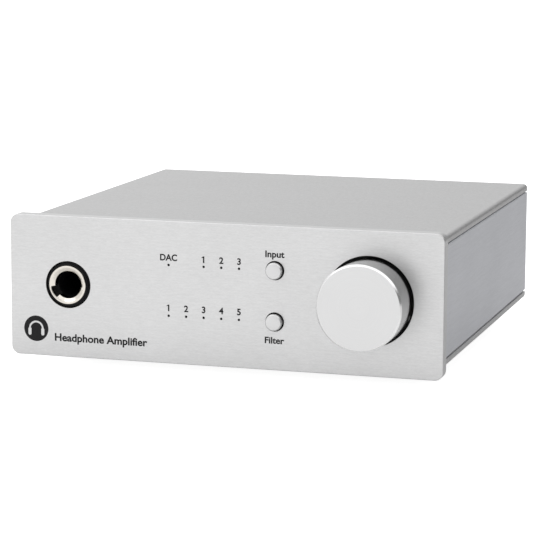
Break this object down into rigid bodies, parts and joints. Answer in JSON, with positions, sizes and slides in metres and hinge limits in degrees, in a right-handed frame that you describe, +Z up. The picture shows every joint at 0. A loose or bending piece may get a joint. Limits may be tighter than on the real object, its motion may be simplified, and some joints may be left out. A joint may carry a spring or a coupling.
{
  "type": "desktop headphone amplifier",
  "caption": "Slim aluminium desktop converter and headphone amplifier with a jack, indicators, two push buttons and a volume knob, and sockets behind.",
  "frame": {"origin": "middle of the bounding box's underside, on the surface that the feet stand on", "axes": "+Z up, -Y to the front, where the knob is, and +X to the right as seen from the front"},
  "size_m": [0.103, 0.122, 0.037],
  "materials": {
    "fascia": "brushed along its length and clear anodised",
    "cover": "fine satin, clear anodised",
    "side": "fine satin, clear anodised",
    "rear": "fine satin, clear anodised",
    "knob": "fine turned and clear anodised",
    "button": "fine turned and clear anodised",
    "inner_plate": "matt black",
    "steel": "zinc plated",
    "black_screw": "black oxide",
    "foot_rubber": "matt moulded rubber",
    "black_plastic": "matt moulded",
    "shutter_plastic": "smooth moulded",
    "nickel": "nickel plated",
    "contact": "gold plated",
    "socket_insulator": "smooth moulded, one colour to each socket",
    "white_plastic": "smooth moulded",
    "light_pipe": "smoked clear plastic",
    "lamp": "cast resin",
    "receiver": "dark red clear plastic",
    "pot_body": "matt moulded",
    "circuit_board": "green solder mask",
    "chip": "matt moulded",
    "capacitor_sleeve": "printed sleeve",
    "film_capacitor": "dipped",
    "crystal_can": "drawn can",
    "heat_sink": "black anodised"
  },
  "bodies": {
    "case": {"front_panel": "fascia", "front_plate": "inner_plate", "top_cover": "cover", "bottom_cover": "cover", "left_side_profile": "side", "right_side_profile": "side", "rear_panel": "rear", "fascia_screws": "steel", "front_plate_screws": "steel", "rear_panel_screws": "black_screw", "rubber_feet": "foot_rubber", "foot_screws": "steel", "potentiometer_bushing": "nickel", "potentiometer_washer": "nickel", "potentiometer_nut": "nickel", "potentiometer_body": "pot_body", "potentiometer_back": "nickel", "input_switch_body": "black_plastic", "filter_switch_body": "black_plastic", "headphone_jack_housing": "black_plastic", "headphone_jack_ferrule": "nickel", "headphone_jack_contacts": "contact", "indicator_light_pipes": "light_pipe", "indicator_leds": "lamp", "front_board": "circuit_board", "board_header": "black_plastic", "main_board": "circuit_board", "phono_socket_block": "black_plastic", "line_out_left_socket": "nickel", "line_out_right_socket": "nickel", "coaxial_socket": "nickel", "phono_insulators": "socket_insulator", "phono_centre_contacts": "contact", "usb_socket_shell": "nickel", "usb_socket_insert": "white_plastic", "optical_socket_housing": "black_plastic", "optical_socket_pin": "steel", "optical_receiver": "receiver", "power_inlet_housing": "black_plastic", "power_inlet_pin": "nickel", "converter_chip": "chip", "usb_receiver_chip": "chip", "opamp_chips": "chip", "electrolytic_capacitors": "capacitor_sleeve", "film_capacitors": "film_capacitor", "mute_relay": "white_plastic", "crystals": "crystal_can", "voltage_regulator": "chip", "heat_sink": "heat_sink"},
    "volume_control": {"volume_knob": "knob", "knob_grub_screw": "steel", "potentiometer_shaft": "steel"},
    "input_key": {"input_button": "button", "input_switch_plunger": "white_plastic"},
    "filter_key": {"filter_button": "button", "filter_switch_plunger": "white_plastic"},
    "optical_shutter": {"optical_socket_shutter": "shutter_plastic"}
  },
  "joints": [
    {"name": "volume_turn", "type": "hinge", "parent": "case", "child": "volume_control", "pos_m": [0.03435, -0.0517, 0.021], "axis": [0, 1, 0], "range_deg": [-150, 150]},
    {"name": "input_press", "type": "slide", "parent": "case", "child": "input_key", "axis": [0, 1, 0], "range_m": [0, 0.0005], "stiffness_N_per_m": 1500, "springref_m": -0.0002},
    {"name": "filter_press", "type": "slide", "parent": "case", "child": "filter_key", "axis": [0, 1, 0], "range_m": [0, 0.0005], "stiffness_N_per_m": 1500, "springref_m": -0.0002},
    {"name": "optical_shutter_swing", "type": "hinge", "parent": "case", "child": "optical_shutter", "pos_m": [-0.00753, 0.0504, 0.01998], "axis": [-1, 0, 0], "range_deg": [0, 85], "stiffness_Nm_per_rad": 0.0008, "springref_deg": -34.38}
  ]
}
